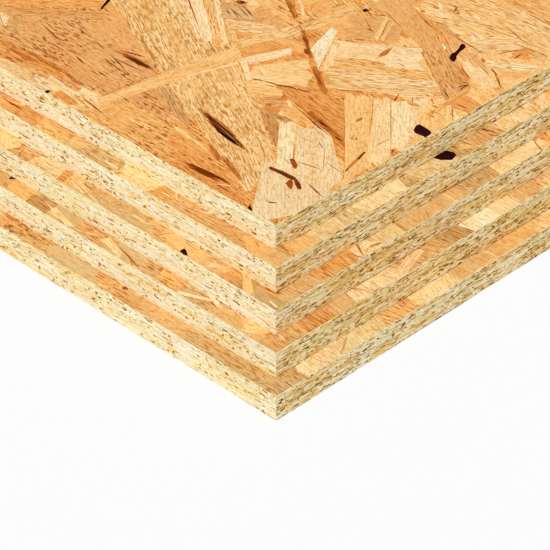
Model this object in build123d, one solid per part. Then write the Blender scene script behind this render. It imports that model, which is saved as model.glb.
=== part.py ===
"""A stack of oriented strand board panels, staggered at one corner.

Every panel is one pressed and sawn sheet with square edges, so every panel is one solid. All are
the same size. Each lies back from the one below it by the same setback along its length and along
its width, so that the corner at +X, -Y rises in even steps and the opposite corner overhangs.

Millimetres, +Z up, +X along the panels' length. The origin is at floor level, in the middle of the
stack's footprint.
"""

import os

from build123d import *

# Driving dimensions
PANEL_LENGTH = 1220.0  # 4 ft, the way the face strands run
PANEL_WIDTH = 610.0  # 2 ft
PANEL_THICKNESS = 18.0
LENGTHWAYS_SETBACK = 12.4  # of each panel from the end of the one below
SIDEWAYS_SETBACK = 12.4  # of each panel from the long side of the one below
PANEL_COUNT = 5

OUTPUT_FOLDER = "parts"


def make_panel():
    """One sheet, centred on the origin, with its underside on the floor."""
    with BuildPart() as panel:
        with BuildSketch(Plane.XY):
            Rectangle(PANEL_LENGTH, PANEL_WIDTH)
        extrude(amount=PANEL_THICKNESS)
    return panel.part


def place_of(level):
    """Where the panel at a level lies: level 0 is on the floor, and the middle level is centred."""
    steps_from_middle = level - (PANEL_COUNT - 1) / 2
    return Location(
        (
            -steps_from_middle * LENGTHWAYS_SETBACK,
            steps_from_middle * SIDEWAYS_SETBACK,
            level * PANEL_THICKNESS,
        )
    )


def main():
    os.makedirs(OUTPUT_FOLDER, exist_ok=True)
    panel = make_panel()
    for level in range(PANEL_COUNT):
        node = f"panel_{level + 1}"
        export_step(place_of(level) * panel, os.path.join(OUTPUT_FOLDER, f"{node}.step"))


main()
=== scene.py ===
"""Dresses a stack of oriented strand board panels, staggered at one corner.

Each panel is rebuilt inside its own box from what the board is pressed from: flat strands of wood
laid over each other on its two faces, and the cut ends and sides of strands on its four sawn edges.
Every strand is a thin closed plate with its own tone and grain. Metres, +Z up.
"""

import math

import bpy
import numpy as np
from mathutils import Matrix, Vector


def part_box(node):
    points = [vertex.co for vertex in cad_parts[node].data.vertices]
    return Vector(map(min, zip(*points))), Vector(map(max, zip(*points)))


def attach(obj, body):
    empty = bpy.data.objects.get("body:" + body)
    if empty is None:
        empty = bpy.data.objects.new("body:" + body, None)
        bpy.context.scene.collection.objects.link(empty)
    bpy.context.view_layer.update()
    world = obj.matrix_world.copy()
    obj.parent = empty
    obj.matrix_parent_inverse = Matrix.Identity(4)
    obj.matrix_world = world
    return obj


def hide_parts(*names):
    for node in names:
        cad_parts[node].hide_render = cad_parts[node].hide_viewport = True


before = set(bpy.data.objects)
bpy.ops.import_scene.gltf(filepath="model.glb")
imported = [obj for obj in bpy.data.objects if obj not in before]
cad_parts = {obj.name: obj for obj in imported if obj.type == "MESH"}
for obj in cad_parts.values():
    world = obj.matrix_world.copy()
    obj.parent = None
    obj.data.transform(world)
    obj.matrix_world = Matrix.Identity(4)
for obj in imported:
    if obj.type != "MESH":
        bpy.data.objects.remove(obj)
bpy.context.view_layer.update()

MM = 0.001
SEED = 20

# The photograph's camera, fitted to the panels' edge lines
IMAGE_SIZE = 550  # pixels each way
SENSOR_WIDTH = 36.0  # millimetres, as the camera states it
FOCAL_PIXELS = 3310.6
AZIMUTH = math.radians(44.816)
ELEVATION = math.radians(36.164)
CORNER_PIXEL = (275.7, 225.6)  # the top panel's near corner
CORNER_DEPTH = 1.934  # from the camera, along its axis

# Light
SUN_DIRECTION = (0.36, -0.44, 0.855)  # towards the sun
SUN_STRENGTH = 2.17
FILL_DIRECTION = (-0.15, -0.95, 0.28)  # towards the lower light that faces the long side
FILL_STRENGTH = 0.5
SUN_SIZE = math.radians(40)
SKY_STRENGTH = 0.40
FLOOR_COLOUR = (0.75, 0.74, 0.75, 1)
FLOOR_SIZE = 60.0
FLOOR_WHITE_SHARE = 0.9  # of the floor's look that is plain white, whatever the light

# Strands on the faces
FACE_RELIEF = 0.5 * MM  # from the deepest strand's face to the outermost one's
STRAND_STEP = 0.4 * MM  # from a strand's face down to its edge
STRAND_BEVEL = 0.25 * MM
BEVEL_SHARE = 0.1  # of a strand's width, at most
FACE_INSETS = (0.15 * MM, 0.3 * MM)  # of the strands from the sawn edges, no two cut off in one plane
SHEET_DEPTH = 0.6 * MM  # of the pressed sheet under the strands
SHEET_THICKNESS = 0.3 * MM
SHEET_INSET = 0.3 * MM
FIRST_LENGTH, FIRST_WIDTH = 118 * MM, 31 * MM  # the strands of the layer that covers the board
FIRST_LENGTH_SHARES, FIRST_WIDTH_SHARES = (0.8, 1.2), (0.75, 1.2)  # that single ones have of these
FIRST_SPACING_SHARE = 0.72
FIRST_SHIFT_SHARE = 0.35  # of the spacing, that one lies off its place, at most
LOOSE_SIZES = ((45 * MM, 130 * MM), (7 * MM, 38 * MM))  # shortest and longest, narrowest and widest
CHIP_SIZES = ((8 * MM, 32 * MM), (2 * MM, 9 * MM))
LOOSE_WIDTH_SHARE, CHIP_WIDTH_SHARE = 0.5, 0.6  # of the length, at most
SLIVER_SIZES = ((10 * MM, 48 * MM), (0.8 * MM, 3 * MM))
CRACK_SIZES = ((4 * MM, 24 * MM), (0.35 * MM, 0.8 * MM))
FLECK_SIZES = ((3 * MM, 10 * MM), (1.2 * MM, 4 * MM))
END_WIDTH_SHARES = (0.6, 1.1)  # of a strand's width, that its ends have
END_SLANT_SHARE = 0.7  # of its width, that they slant, at most
SIDE_WAVE, SIDE_WAVE_SHARE = 0.7 * MM, 0.04  # of its sides, at most, and as a share of its width
END_RAG, END_RAG_SHARE = 6 * MM, 0.3  # of its torn ends, at most, and as a share of its width
RAG_STEP_SHARE = 0.6  # of the way from one point of its sides to the next, which its rags stay under
POINT_SHIFT_SHARE = 0.3  # of that way, that a point lies off its place, at most
STREAK_POINTS, STREAK_BEND_SHARE = 3, 0.03  # on each side of a pointed streak, and of its length
STREAK_SHIFT_SHARE = 0.25  # of the way from one such point to the next, that one lies off its place
STREAK_WIDTH_SHARES = (0.6, 1.3)  # of half its width, that one of its sides has
FIBRE_WIDTH = 1.1 * MM  # of each part of a streak that is split up
FIBRE_OVERLAP_SHARE = 2.2  # of a fibre's room, that it takes up
FIBRE_REACH_SHARES = (0.75, 1.0)  # of the streak's reach
FIBRE_POINTS, FIBRE_BEND_SHARE = 4, 0.008
# A dark sliver along a strand's side, under its edge: painted shadow of the gap there
SHADOW_SEAM_CHANCE = 0.6
SHADOW_SEAM_WIDTHS = (0.6 * MM, 1.2 * MM)
SHADOW_SEAM_REACH_SHARES = (-0.05, 1.05)  # of a strand's side, between which a dark gap lies along it
SHADOW_SEAM_OVERRUN_SHARE = 0.1  # of that side, that it runs on
SHADOW_SEAM_POINTS = 2
ALONG_SPREAD = math.radians(15)  # of the strands that keep to the panel's length
FIRST_SPREAD = ALONG_SPREAD / 2  # of those in the layer that covers the board
STRAY_CHANCE = 0.25
KNOT_WIDTH = 2 * MM  # of a knot, for its bevel
CRACKS_TO_A_CHIP = 2
STRIP_WIDTH = 26 * MM  # of the part of a covered face that gets small pieces, along its open edges
STRIP_OVERLAP = 3 * MM  # of the strands along such a strip
STRIP_SLANT = 15 * MM  # of their ends, across the strip, at most
SLANT_SHARE = 0.45  # of a strand's own reach, that each of its ends slants, at most
STRIP_TINT = (0.94, 1.08, 1.18)  # of their tones, since the edges beside them cast a warm light on them
SEEN_SIZE = 330 * MM  # of the square of the top face, at its near corner, that the photograph shows

# How many strands and small pieces lie on the first layer of a face
TOP_STRANDS = 700  # all over the top panel
TOP_SMALL_PIECES, TOP_FLECKS = 330, 50  # where the photograph doesn't show it
TOP_CRACKS = 200  # where it does
COVERED_STRANDS = 350  # all over the upper face of each panel under it
LONG_STRIP_LOOSE, END_STRIP_LOOSE = 100, 60  # along its open strips
STRIP_SMALL_PIECES, STRIP_CRACKS, STRIP_BLOTS = 40, 120, 3
BOTTOM_STRANDS, BOTTOM_SMALL_PIECES = 450, 80  # on the underside of the stack

# Strands on the sawn edges
EDGE_RELIEF = 0.12 * MM
EDGE_STEP = 0.3 * MM
EDGE_INSETS = (0.06 * MM, 0.16 * MM)  # of the cut strands from the faces, no two cut off in one plane
BASE_INSET = 0.03 * MM  # of the piece under them
EDGE_BEVEL = 0.1 * MM
BLOCK_INSET = 0.5 * MM
EDGE_PITCH = 1.15 * MM  # from one row of cut strands to the next
EDGE_HEIGHTS = (0.7 * MM, 2.2 * MM)
EDGE_TILT = math.radians(1.0)
TIP_SHARES = (0.03, 0.3)  # of a cut strand's length, that a tip takes up
TIP_LIFT_SHARE = 0.3  # of its height, that a tip lies off its middle, at most
ROW_LEAD_SHARE = 0.5  # of the longest strand, that a row starts before its edge, at most
ROW_SHIFT_SHARE = 0.35  # of the pitch, that a strand lies off its row, at most
CUT_OVERLAP_SHARE = 1.15  # of a strand's room in its row, that it takes up
FACE_LAYER_SHARE = 0.27  # of the thickness, on each side of the cross-laid core
CUT_ALONG_LENGTHS = (24 * MM, 100 * MM)  # where the saw runs with the strands
CUT_ACROSS_LENGTHS = (8 * MM, 30 * MM)  # where it cuts them off
CUT_CORE_LENGTHS = (12 * MM, 48 * MM)  # and along the shorter strands of the core
SPECK_SIZES = ((1.2 * MM, 4.8 * MM), (0.7 * MM, 1.8 * MM))
DASH_SIZES = ((2 * MM, 7 * MM), (0.45 * MM, 0.9 * MM))
CORE_SHARE = 0.5  # of a speck's size, that is darker
CORE_CHANCE = 0.6
CLUSTER_SIZE = (2, 7)  # specks, fewest and one over the most
CLUSTER_SPREAD = np.array((9 * MM, 2.5 * MM))
SPECK_AREA = 38 * MM * MM  # of an edge, to one speck, where the saw ran with the face strands
CROSS_SPECK_AREA = 70 * MM * MM  # and where it cut them off
DASH_AREA = 75 * MM * MM  # of an edge, to one dark dash, in the same two cases
CROSS_DASH_AREA = 13 * MM * MM
# Painted shadow along the foot of an edge, as dark slivers where a panel meets the one under it: their
# spacing, shortest and longest, lowest and tallest
LONG_FOOT_SHADOWS = (120 * MM, (6 * MM, 40 * MM), (0.3 * MM, 0.5 * MM))  # where the saw ran with the face strands
END_FOOT_SHADOWS = (30 * MM, (6 * MM, 40 * MM), (0.3 * MM, 0.5 * MM))  # where it cut them off
BACK_FOOT_SHADOWS = (24 * MM, (20 * MM, 90 * MM), (0.7 * MM, 1.3 * MM))  # where a panel juts out over the next one
SEGMENT_LENGTH = 305 * MM  # an edge's stretch in one row of its texture map
MAP_MARGIN_SHARE = 0.04  # of such a row, left free on each side
BLOCK_MAP_SHARE = 0.3  # of the map's width and of its last row, to each metre of the block under the edges

# Limits that keep the meshes sound
SMALLEST_AREA = 0.01 * MM * MM  # of what is left of a strand that the saw cuts
SMALLEST_STEP = 1e-6 * MM  # from one point of an outline to the next
SAW_TOLERANCE = 1e-4 * MM  # of a point that lies on the saw's cut
SHARPEST_MITRE = 0.6  # of a bevel, where 2 is a straight run and 0 a full turn back


def linear(red, green, blue):
    """A screen colour as the linear one that shaders take."""
    shares = np.array((red, green, blue)) / 255
    return np.where(shares <= 0.04045, shares / 12.92, ((shares + 0.055) / 1.055) ** 2.4)


TONES = {
    "cream": linear(254, 234, 190),
    "pale": linear(252, 221, 166),
    "golden": linear(252, 208, 140),
    "honey": linear(246, 191, 118),
    "orange": linear(236, 172, 99),
    "brown": linear(204, 132, 60),
    "grey": linear(211, 167, 106),
    "peach": linear(252, 214, 152),
    "tan": linear(235, 184, 120),
    "biscuit": linear(224, 183, 125),
    "dull": linear(242, 209, 150),
    "milk": linear(250, 229, 182),
    "oat": linear(243, 221, 175),
    "rust": linear(160, 80, 18),
    "russet": linear(134, 62, 14),
    "umber": linear(96, 48, 10),
    # Near black: bark, and the painted shade of deep gaps between strands
    "bark": linear(42, 5, 7),
    "chalk": linear(255, 247, 231),
    "straw": linear(255, 241, 209),
    "sand": linear(252, 227, 170),
    "wheat": linear(240, 208, 142),
    "khaki": linear(222, 186, 120),
    "ochre": linear(208, 152, 44),
    "olive": linear(160, 106, 4),
    # Painted shade of small holes and gaps, as a tone
    "void": linear(104, 62, 0),
}
# Shares of the tones, by what shows them
FACE_TONES = {"cream": 0.10, "pale": 0.26, "golden": 0.34, "honey": 0.22, "orange": 0.06, "grey": 0.02}
LONG_STRIP_TONES = {"honey": 0.08, "peach": 0.12, "biscuit": 0.48, "orange": 0.12, "grey": 0.14,
                    "brown": 0.06}
END_STRIP_TONES = {"pale": 0.12, "oat": 0.24, "dull": 0.24, "biscuit": 0.28, "orange": 0.06, "grey": 0.06}
CHIP_TONES = {"cream": 0.16, "pale": 0.32, "golden": 0.22, "honey": 0.18, "orange": 0.09, "brown": 0.03}
SLIVER_TONES = {"cream": 0.20, "pale": 0.28, "honey": 0.16, "orange": 0.16, "brown": 0.14, "rust": 0.06}
# Cracks, and the painted shadows along strands' sides, take these tones
CRACK_AND_SHADOW_SEAM_TONES = {"brown": 0.55, "rust": 0.45}
FLECK_TONES = {"rust": 0.45, "umber": 0.35, "bark": 0.20}
ALONG_TONES = {"chalk": 0.40, "straw": 0.42, "sand": 0.18}
ACROSS_TONES = {"chalk": 0.14, "straw": 0.28, "sand": 0.28, "wheat": 0.20, "khaki": 0.10}
SPECK_TONES = {"ochre": 0.75, "olive": 0.25}
# Dark dashes on the sawn edges: mostly painted shade of small gaps between cut strands, the rest dark olive
# wood
DASH_TONES = {"olive": 0.35, "void": 0.65}
# Tones of the painted shadow along the foot of each edge
FOOT_SHADOW_TONES = {"umber": 0.6, "void": 0.4}
TONE_SPREAD = 0.035
STEADY_SPREAD = 0.008  # of the strands whose tones are known
WARMTH_SHARE = 1 / 3  # of a strand's spread, that it is redder or yellower by
PLAIN_TINT = (1, 1, 1)
LIGHTEST_SHARE = 0.95  # of the light, that a tone gives back, at most

# How much a strand's figure shows: dark dashes along the grain, knife marks across it, grain lines
FIGURES = {
    "plain": (0.0, 0.15, 0.4),
    "lined": (0.2, 0.25, 0.9),
    "marked": (1.0, 0.2, 0.6),
    "dashed": (1.0, 0.3, 1.0),
    "hatched": (0.5, 0.9, 1.2),
    "checked": (1.4, 0.9, 0.9),
    "still": (0.0, 0.0, 0.3),
}
FIGURE_SPREADS = (-9, 6)  # of that, less and more, times a strand's spread
GRAIN_FINENESS, GRAIN_SPREADS = 1.12, (-8, 6)  # of its grain, and coarser and finer than that
GRAIN_SHIFT = 400  # millimetres of grain, at most, so that each strand has its own
# Shares of the figures, by what shows them
FACE_FIGURES = {"plain": 0.30, "lined": 0.35, "marked": 0.10, "dashed": 0.10, "hatched": 0.10,
                "checked": 0.05}
STRIP_FIGURES = {"plain": 0.7, "lined": 0.2, "marked": 0.1}
SMALL_FIGURES = {"plain": 0.6, "lined": 0.4}
STILL_FIGURES = {"still": 1.0}
CROSS_FIGURES = {"dashed": 0.7, "plain": 0.3}

# Points along each side and each end of a strand's outline
FINE_POINTS = (3, 7)
STRIP_POINTS = (4, 4)
COARSE_POINTS = (2, 3)
CHIP_POINTS = (2, 3)
OFFSET_POWER = 3  # which makes large waves and rags seldom

LENGTHWAYS = np.array((1.0, 0.0))  # along a face


def camera_axes():
    """The camera's right, up and backward directions."""
    level = math.cos(ELEVATION)
    back = np.array((math.sin(AZIMUTH) * level, -math.cos(AZIMUTH) * level, math.sin(ELEVATION)))
    right = np.array((math.cos(AZIMUTH), math.sin(AZIMUTH), 0.0))
    return right, np.cross(back, right), back


def pixel_ray(pixel):
    """From the camera to what a pixel shows, one metre along the camera's axis."""
    right, up, back = camera_axes()
    middle = IMAGE_SIZE / 2
    return ((pixel[0] - middle) * right - (pixel[1] - middle) * up) / FOCAL_PIXELS - back


def camera_place():
    """Where the camera stands, from where it sees the top panel's near corner."""
    low, high = (np.array(corner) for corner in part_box("panel_5"))
    near_corner = np.array((high[0], low[1], high[2]))
    return near_corner - CORNER_DEPTH * pixel_ray(CORNER_PIXEL)


def on_level(pixel, height):
    """The point at that height that a pixel of the photograph shows."""
    place = camera_place()
    ray = pixel_ray(pixel)
    return place + ray * ((height - place[2]) / ray[2])


class Face:
    """A flat side of a panel: a corner, two directions along it, and its sizes in those directions."""

    def __init__(self, corner, along, across, length, width):
        self.corner = np.array(corner)
        self.along = np.array(along, float)
        self.across = np.array(across, float)
        self.out = np.cross(self.along, self.across)
        self.size = np.array((length, width))

    def place(self, flat, height):
        """Flat points of the face in space, at a height over it."""
        return (self.corner + np.outer(flat[:, 0], self.along) + np.outer(flat[:, 1], self.across)
                + height * self.out)

    def flat(self, point):
        """A point in space as a flat point of the face."""
        offset = np.array(point) - self.corner
        return np.array((offset @ self.along, offset @ self.across))

    def seen(self, pixel):
        """The flat point of a level face that a pixel of the photograph shows."""
        return self.flat(on_level(pixel, self.corner[2]))


class Strand:
    """A strand's outline, the way its grain runs, its width and its looks."""

    def __init__(self, outline, way, width, tone, figure):
        self.outline = outline
        self.way = way
        self.width = width
        self.tone = tone
        self.figure = figure
        self.spread = TONE_SPREAD
        self.tint = PLAIN_TINT


def placed(name, data):
    """A new object in the scene."""
    thing = bpy.data.objects.new(name, data)
    bpy.context.scene.collection.objects.link(thing)
    return thing


def faced(thing, direction):
    """Turns an object so that its back looks in a direction."""
    thing.rotation_mode = "QUATERNION"
    thing.rotation_quaternion = Vector(direction).to_track_quat("Z", "Y")


class Plates:
    """Many thin closed plates gathered into one mesh, with the tone and grain of each."""

    def __init__(self):
        self.points = []
        self.faces = []
        self.layers = {"grain": [], "OFBake": [], "tone": [], "figure": [], "rim_shade_and_dirt": []}
        self.count = 0

    def add(self, points, faces, grain, texture, tone, figure, rim_shade_and_dirt):
        """One closed shape with its faces in drawing order, the outermost last."""
        self.faces.extend([[corner + self.count for corner in face] for face in faces])
        self.points.append(points)
        number = len(points)
        self.count += number
        self.layers["grain"].append(grain)
        self.layers["OFBake"].append(texture)
        self.layers["tone"].append(np.tile(tone, (number, 1)))
        self.layers["figure"].append(np.tile(figure, (number, 1)))
        self.layers["rim_shade_and_dirt"].append(rim_shade_and_dirt)

    def make(self, name, material):
        """The gathered plates as an object."""
        mesh = bpy.data.meshes.new(name)
        mesh.from_pydata(np.concatenate(self.points), [], self.faces)
        layers = {key: np.concatenate(rows) for key, rows in self.layers.items()}
        corners = np.zeros(len(mesh.loops), np.int32)
        mesh.loops.foreach_get("vertex_index", corners)
        for key in ("grain", "OFBake"):
            mesh.uv_layers.new(name=key).data.foreach_set("uv", layers[key][corners].ravel())
        for key in ("tone", "figure"):
            mesh.attributes.new(key, "FLOAT_VECTOR", "POINT").data.foreach_set("vector", layers[key].ravel())
        mesh.attributes.new("rim_shade_and_dirt", "FLOAT", "POINT").data.foreach_set("value", layers["rim_shade_and_dirt"])
        mesh.materials.append(material)
        mesh.update()
        return placed(name, mesh)


def turned(vectors):
    """Flat vectors turned a quarter turn to the left."""
    return np.stack((-vectors[..., 1], vectors[..., 0]), -1)


def unit(vector):
    return vector / np.linalg.norm(vector)


def signed_area(outline):
    following = np.roll(outline, -1, 0)
    return 0.5 * np.sum(outline[:, 0] * following[:, 1] - following[:, 0] * outline[:, 1])


def sawn(outline, low, high):
    """The part of an outline that lies within a rectangle."""
    for axis in (0, 1):
        for bound, sign in ((low[axis], 1), (high[axis], -1)):
            inside = sign * (outline[:, axis] - bound) >= 0
            if inside.all():
                continue
            kept = []
            for i in range(len(outline)):
                j = (i + 1) % len(outline)
                if inside[i]:
                    kept.append(outline[i])
                if inside[i] != inside[j]:
                    share = (bound - outline[i, axis]) / (outline[j, axis] - outline[i, axis])
                    crossing = outline[i] + share * (outline[j] - outline[i])
                    crossing[axis] = bound
                    kept.append(crossing)
            if len(kept) < 3:
                return None
            outline = np.array(kept)
    return outline


def drawn_in(outline, bevel, low, high):
    """An outline moved inwards by a bevel, except where the saw cut it, and which points the saw cut."""
    ahead = np.roll(outline, -1, 0) - outline
    lengths = np.maximum(np.linalg.norm(ahead, axis=1, keepdims=True), SMALLEST_STEP)
    normals = turned(ahead / lengths)
    before = np.roll(normals, 1, 0)
    spread = np.maximum(1 + np.sum(normals * before, 1, keepdims=True), SHARPEST_MITRE)
    inner = outline + bevel * (normals + before) / spread
    cut = (np.abs(outline - low) < SAW_TOLERANCE) | (np.abs(outline - high) < SAW_TOLERANCE)
    inner = np.where(cut, outline, inner)
    return np.clip(inner, low, high), cut.any(1)


def drawn(rng, shares):
    """A name drawn by its share."""
    names = list(shares)
    chances = np.array([shares[name] for name in names])
    return names[rng.choice(len(names), p=chances / chances.sum())]


def shade(rng, strand):
    """A strand's tone, a little lighter or darker and redder or yellower than its name says."""
    level = 1 + rng.normal(0, strand.spread)
    warmth = rng.normal(0, strand.spread * WARMTH_SHARE)
    tone = TONES[strand.tone] * strand.tint
    return np.clip(tone * level * (1 + warmth, 1, 1 - 2 * warmth), 0, LIGHTEST_SHARE)


def add_plate(rng, plates, face, strand, area, top, step, bevel, texture_of):
    """One strand as a closed plate with a bevelled edge, cut to an area of the face."""
    low, high = area
    outline = sawn(strand.outline, low, high)
    if outline is None or signed_area(outline) < SMALLEST_AREA:
        return
    inner, cut = drawn_in(outline, bevel, low, high)
    number = len(outline)
    points = np.concatenate((face.place(outline, top - step), face.place(inner, top)))
    flat = np.concatenate((outline, inner))
    ring = range(number)
    walls = [(i, (i + 1) % number, number + (i + 1) % number, number + i) for i in ring]
    faces = [tuple(reversed(ring)), *walls, tuple(number + i for i in ring)]
    fineness = GRAIN_FINENESS + rng.uniform(*GRAIN_SPREADS) * strand.spread
    grain = np.stack((flat @ strand.way, flat @ turned(strand.way)), -1) * fineness / MM
    grain += rng.uniform(0, GRAIN_SHIFT, 2)
    # The outer ring of an uncut outline takes painted shade and dirt, darkened in the shader
    rim_shade_and_dirt = np.concatenate((np.where(cut, 0.0, 1.0), np.zeros(number)))
    figure = np.array(FIGURES[strand.figure]) * (1 + rng.uniform(*FIGURE_SPREADS, 3) * strand.spread)
    plates.add(points, faces, grain, texture_of(flat), shade(rng, strand), figure, rim_shade_and_dirt)


def add_box(plates, low, high, tone, texture):
    """A plain closed box, all of it at one place of the texture map."""
    across, deep, up = zip(low, high)
    corners = np.array([(x, y, z) for z in up for y in deep for x in across])
    faces = [(0, 2, 3, 1), (0, 1, 5, 4), (2, 6, 7, 3), (0, 4, 6, 2), (1, 3, 7, 5), (4, 5, 7, 6)]
    rim_shade_and_dirt = np.zeros(len(corners))
    plates.add(corners, faces, corners[:, :2] / MM, texture(corners), TONES[tone], FIGURES["lined"], rim_shade_and_dirt)


def quad_of(rng, centre, angle, length, width):
    """A strand's four corners: a long side, then the other one backwards, with slanted ends."""
    way = np.array((math.cos(angle), math.sin(angle)))
    aside = turned(way)
    start_width, end_width = width * rng.uniform(*END_WIDTH_SHARES, 2)
    start_slant, end_slant = rng.uniform(-END_SLANT_SHARE, END_SLANT_SHARE, 2) * width
    return np.array((
        centre - way * (length + start_slant) / 2 - aside * start_width / 2,
        centre + way * (length + end_slant) / 2 - aside * end_width / 2,
        centre + way * (length - end_slant) / 2 + aside * end_width / 2,
        centre - way * (length - start_slant) / 2 + aside * start_width / 2,
    ))


def torn(rng, quad, points, tone, figure):
    """A strand with nearly straight split sides and ragged torn ends."""
    if signed_area(quad) < 0:
        quad = quad[[3, 2, 1, 0]]
    start, end, far_end, far_start = quad
    side_points, end_points = points
    way = unit((end - start) + (far_end - far_start))
    aside = turned(way)
    width = min(np.linalg.norm(far_start - start), np.linalg.norm(far_end - end))
    wave = min(SIDE_WAVE_SHARE * width, SIDE_WAVE)
    length = min(np.linalg.norm(end - start), np.linalg.norm(far_end - far_start))
    rag = min(END_RAG_SHARE * width, END_RAG, RAG_STEP_SHARE * length / side_points)
    outline = []
    for first, last, number, way_off, much in ((start, end, side_points, aside, wave),
                                               (end, far_end, end_points, way, rag),
                                               (far_end, far_start, side_points, aside, wave),
                                               (far_start, start, end_points, way, rag)):
        shifts = rng.uniform(-POINT_SHIFT_SHARE, POINT_SHIFT_SHARE, number - 1)
        shares = (np.arange(number) + np.r_[0, shifts]) / number
        offsets = rng.uniform(-1, 1, number) ** OFFSET_POWER * much
        outline.append(first + np.outer(shares, last - first) + np.outer(offsets, way_off))
    return Strand(np.concatenate(outline), way, width, tone, figure)


def pointed(rng, start, end, width, tone, figure, points=STREAK_POINTS, bend_share=STREAK_BEND_SHARE):
    """A streak that comes to a point at both ends and bends a little."""
    along = end - start
    aside = turned(unit(along))
    shifts = rng.uniform(-STREAK_SHIFT_SHARE, STREAK_SHIFT_SHARE, points)
    shares = (np.arange(points) + 1 + shifts) / (points + 1)
    swell = np.sin(math.pi * shares)
    bend = rng.normal(0, bend_share) * np.linalg.norm(along) * swell
    half = width / 2 * swell
    right, left = bend - half * rng.uniform(*STREAK_WIDTH_SHARES, points), bend + half
    middle = start + np.outer(shares, along)
    outline = np.concatenate(([start], middle + np.outer(right, aside), [end],
                              (middle + np.outer(left, aside))[::-1]))
    return Strand(outline, unit(along), width, tone, figure)


def shuffled(rng, strands):
    return [strands[i] for i in rng.permutation(len(strands))]


def split(rng, start, end, width, tone):
    """A streak that is made up of fibres side by side."""
    number = max(1, round(width / FIBRE_WIDTH))
    fibre_width = width if number == 1 else FIBRE_OVERLAP_SHARE * width / number
    middle, half = (start + end) / 2, (end - start) / 2
    aside = turned(unit(half))
    fibres = []
    for share in (np.arange(number) + 0.5) / number - 0.5:
        reach = math.sqrt(1 - (2 * share) ** 2) if number > 1 else 1.0
        first, last = rng.uniform(*FIBRE_REACH_SHARES, 2) * reach
        centre = middle + share * width * aside
        fibres.append(pointed(rng, centre - first * half, centre + last * half, fibre_width, tone, "lined",
                              FIBRE_POINTS, FIBRE_BEND_SHARE))
    return shuffled(rng, fibres)


def strand_angle(rng):
    """Mostly along the panel, now and then any way."""
    if rng.random() < STRAY_CHANCE:
        return rng.uniform(-math.pi / 2, math.pi / 2)
    return rng.normal(0, ALONG_SPREAD)


def between(rng, limits):
    """A size between two limits, the small ones likelier."""
    return limits[0] * (limits[1] / limits[0]) ** rng.random()


def sized(rng, sizes):
    """A length and a width, each between its two limits."""
    return [between(rng, limits) for limits in sizes]


def shadow_seam(rng, quad):
    """A painted shadow of the gap along part of a strand's long side."""
    start, end = (quad[0], quad[1]) if rng.random() < 0.5 else (quad[2], quad[3])
    low, high = sorted(rng.uniform(*SHADOW_SEAM_REACH_SHARES, 2))
    width = rng.uniform(*SHADOW_SEAM_WIDTHS)
    first, last = (start + share * (end - start) for share in (low, high + SHADOW_SEAM_OVERRUN_SHARE))
    return pointed(rng, first, last, width, drawn(rng, CRACK_AND_SHADOW_SEAM_TONES), "still", SHADOW_SEAM_POINTS)


def with_shadow_seam(rng, quad, points, tone, figure):
    """A strand, and before it now and then a painted shadow of the gap beside it."""
    strands = []
    if rng.random() < SHADOW_SEAM_CHANCE:
        strands.append(shadow_seam(rng, quad))
    strands.append(torn(rng, quad, points, tone, figure))
    return strands


def first_layer(rng, face, points):
    """Large strands side by side, so that the board is covered all over."""
    spacing = FIRST_SPACING_SHARE * np.array((FIRST_LENGTH, FIRST_WIDTH))
    columns, rows = np.ceil(face.size / spacing).astype(int) + 1
    strands = []
    for row in range(rows):
        for column in range(columns):
            shift = rng.uniform(-FIRST_SHIFT_SHARE, FIRST_SHIFT_SHARE, 2)
            place = np.array((column + (row % 2) / 2, row)) + shift
            length = FIRST_LENGTH * rng.uniform(*FIRST_LENGTH_SHARES)
            width = FIRST_WIDTH * rng.uniform(*FIRST_WIDTH_SHARES)
            quad = quad_of(rng, place * spacing, rng.normal(0, FIRST_SPREAD), length, width)
            strands.append(torn(rng, quad, points, drawn(rng, FACE_TONES), drawn(rng, FACE_FIGURES)))
    return shuffled(rng, strands)


def any_place(rng, areas):
    """A point anywhere in some rectangles, each given by its low and high corner."""
    sizes = np.array([np.prod(high - low) for low, high in areas])
    low, high = areas[rng.choice(len(areas), p=sizes / sizes.sum())]
    return rng.uniform(low, high)


def loose_strands(rng, areas, number, points, tones=FACE_TONES, figures=FACE_FIGURES,
                  sizes=LOOSE_SIZES, width_share=LOOSE_WIDTH_SHARE):
    """Strands of all sizes anywhere, over the first layer."""
    strands = []
    for _ in range(number):
        length, width = sized(rng, sizes)
        centre, angle = any_place(rng, areas), strand_angle(rng)
        quad = quad_of(rng, centre, angle, length, min(width, width_share * length))
        strands += with_shadow_seam(rng, quad, points, drawn(rng, tones), drawn(rng, figures))
    return strands


def chips(rng, areas, number):
    """Broken bits of strands."""
    return loose_strands(rng, areas, number, CHIP_POINTS, CHIP_TONES, SMALL_FIGURES,
                         CHIP_SIZES, CHIP_WIDTH_SHARE)


def streaks(rng, areas, number, sizes, tones, figures):
    """Thin pointed pieces anywhere."""
    strands = []
    for _ in range(number):
        length, width = sized(rng, sizes)
        angle = strand_angle(rng)
        half = np.array((math.cos(angle), math.sin(angle))) * length / 2
        centre = any_place(rng, areas)
        tone, figure = drawn(rng, tones), drawn(rng, figures)
        strands.append(pointed(rng, centre - half, centre + half, width, tone, figure))
    return strands


def cracks(rng, areas, number, sizes=CRACK_SIZES, tones=CRACK_AND_SHADOW_SEAM_TONES):
    """Dark streaks without a figure, or flecks where larger sizes are given."""
    return streaks(rng, areas, number, sizes, tones, STILL_FIGURES)


def small_pieces(rng, areas, number):
    """Chips, slivers and cracks, mixed."""
    strands = chips(rng, areas, number)
    strands += streaks(rng, areas, number, SLIVER_SIZES, SLIVER_TONES, SMALL_FIGURES)
    strands += cracks(rng, areas, CRACKS_TO_A_CHIP * number)
    return shuffled(rng, strands)


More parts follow.
